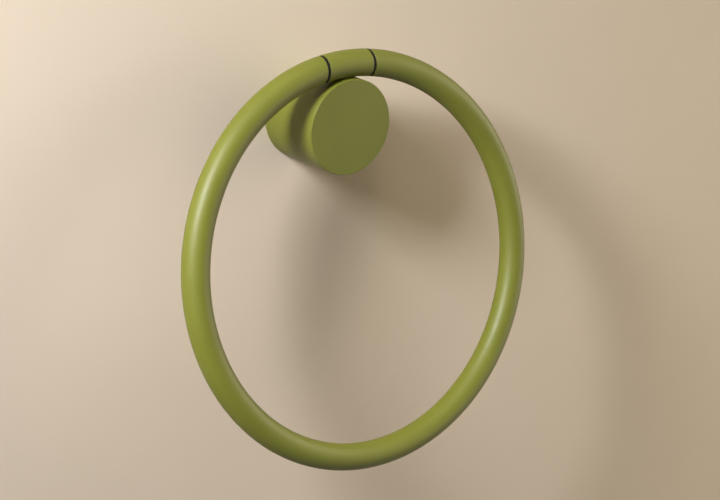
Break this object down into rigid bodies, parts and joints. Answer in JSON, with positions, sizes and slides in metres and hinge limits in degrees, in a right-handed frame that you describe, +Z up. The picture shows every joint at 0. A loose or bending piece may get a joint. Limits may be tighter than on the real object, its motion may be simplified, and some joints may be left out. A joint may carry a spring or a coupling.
{
  "type": "towel ring",
  "caption": "Wall-mounted towel ring: a hoop of round tube that swings on a pivot pin in a short bridge seated on a plain round post, with black friction washers at the joints.",
  "frame": {"origin": "centre of the post's back, on the wall", "axes": "+X to the right of someone facing the wall, +Y into the wall, +Z up"},
  "size_m": [0.218, 0.0829, 0.2136],
  "materials": {
    "lacquer": "satin yellow-green lacquer",
    "washer_rubber": "matte black rubber",
    "plug_brass": "turned",
    "steel": "turned, bright",
    "plate_metal": "turned, plain"
  },
  "bodies": {
    "mount": {"post": "lacquer", "bridge": "lacquer", "joint_washer_left": "washer_rubber", "joint_washer_right": "washer_rubber", "pivot_pin": "steel", "bridge_screw": "steel", "set_screw": "steel", "wall_plate": "plate_metal"},
    "hoop": {"ring": "lacquer", "ring_end_left": "plug_brass", "ring_end_right": "plug_brass"}
  },
  "joints": [
    {"name": "hoop_swing", "type": "hinge", "parent": "mount", "child": "hoop", "pos_m": [0, -0.03371, 0.03078], "axis": [-1, 0, 0], "range_deg": [-19.5, 175.5]}
  ]
}
